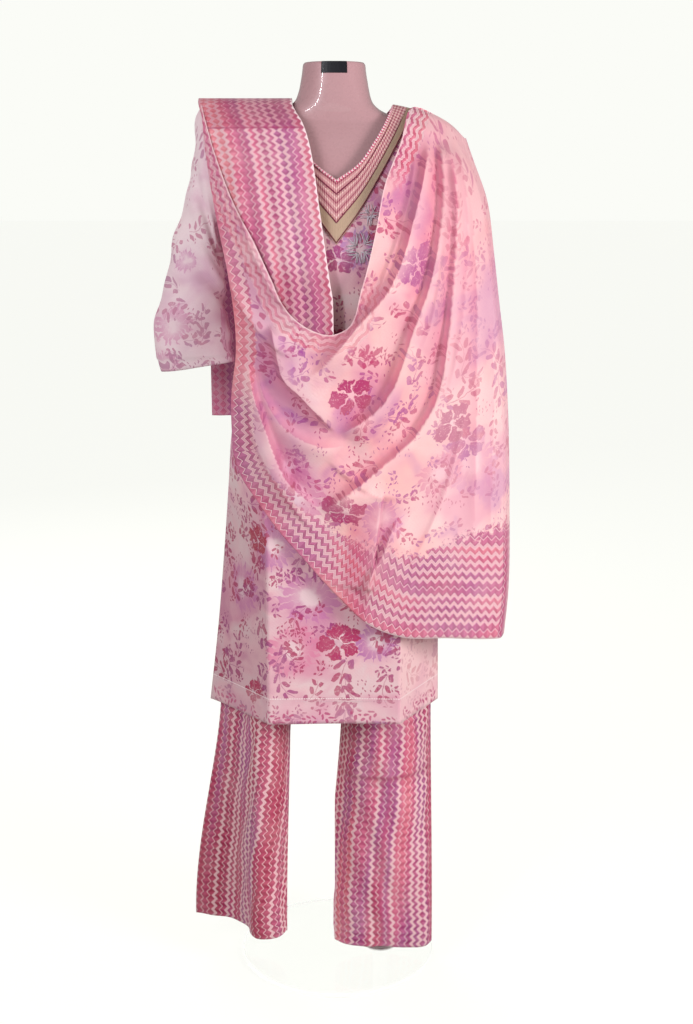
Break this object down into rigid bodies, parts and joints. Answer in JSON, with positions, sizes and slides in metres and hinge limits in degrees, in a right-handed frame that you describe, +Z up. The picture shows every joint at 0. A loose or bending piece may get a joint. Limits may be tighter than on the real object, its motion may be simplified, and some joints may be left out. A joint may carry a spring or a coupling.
{
  "type": "kurta set on dress form",
  "caption": "Printed kurta with V neck and three quarter sleeves, straight trousers and a draped dupatta, on a limbless dress form with a clear base.",
  "frame": {"origin": "centre of the base plate's underside, which stands on the floor", "axes": "+Z up, the front looks along -Y, +X to the viewer's right as seen from the front"},
  "size_m": [0.5729, 0.3458, 1.488],
  "materials": {
    "kurta_print": "light cotton, pale pink with a floral print in magenta, mauve and rose",
    "zigzag_print": "light cotton with an upright zigzag print in magenta, mauve, coral and pale pink",
    "dupatta_print": "sheer soft voile, coral pink florals with zigzag borders",
    "neck_trim": "stitched border with beads, piping and a green and gold ribbon",
    "form_gloss": "glossy skin tone lacquer",
    "black_plastic": "dark moulded plastic",
    "steel": "satin tube",
    "glass": "clear polished plate"
  },
  "bodies": {
    "root": {"base_plate": "glass", "dress_form": "form_gloss", "neck_plug": "black_plastic", "pole": "steel", "kurta_front": "kurta_print", "kurta_back": "kurta_print", "sleeve_left": "kurta_print", "sleeve_right": "kurta_print", "neck_border": "neck_trim", "trouser_left_front": "zigzag_print", "trouser_left_back": "zigzag_print", "trouser_right_front": "zigzag_print", "trouser_right_back": "zigzag_print", "waistband": "zigzag_print", "dupatta_front": "dupatta_print", "dupatta_left_end": "dupatta_print", "dupatta_right_back": "dupatta_print"}
  },
  "joints": []
}
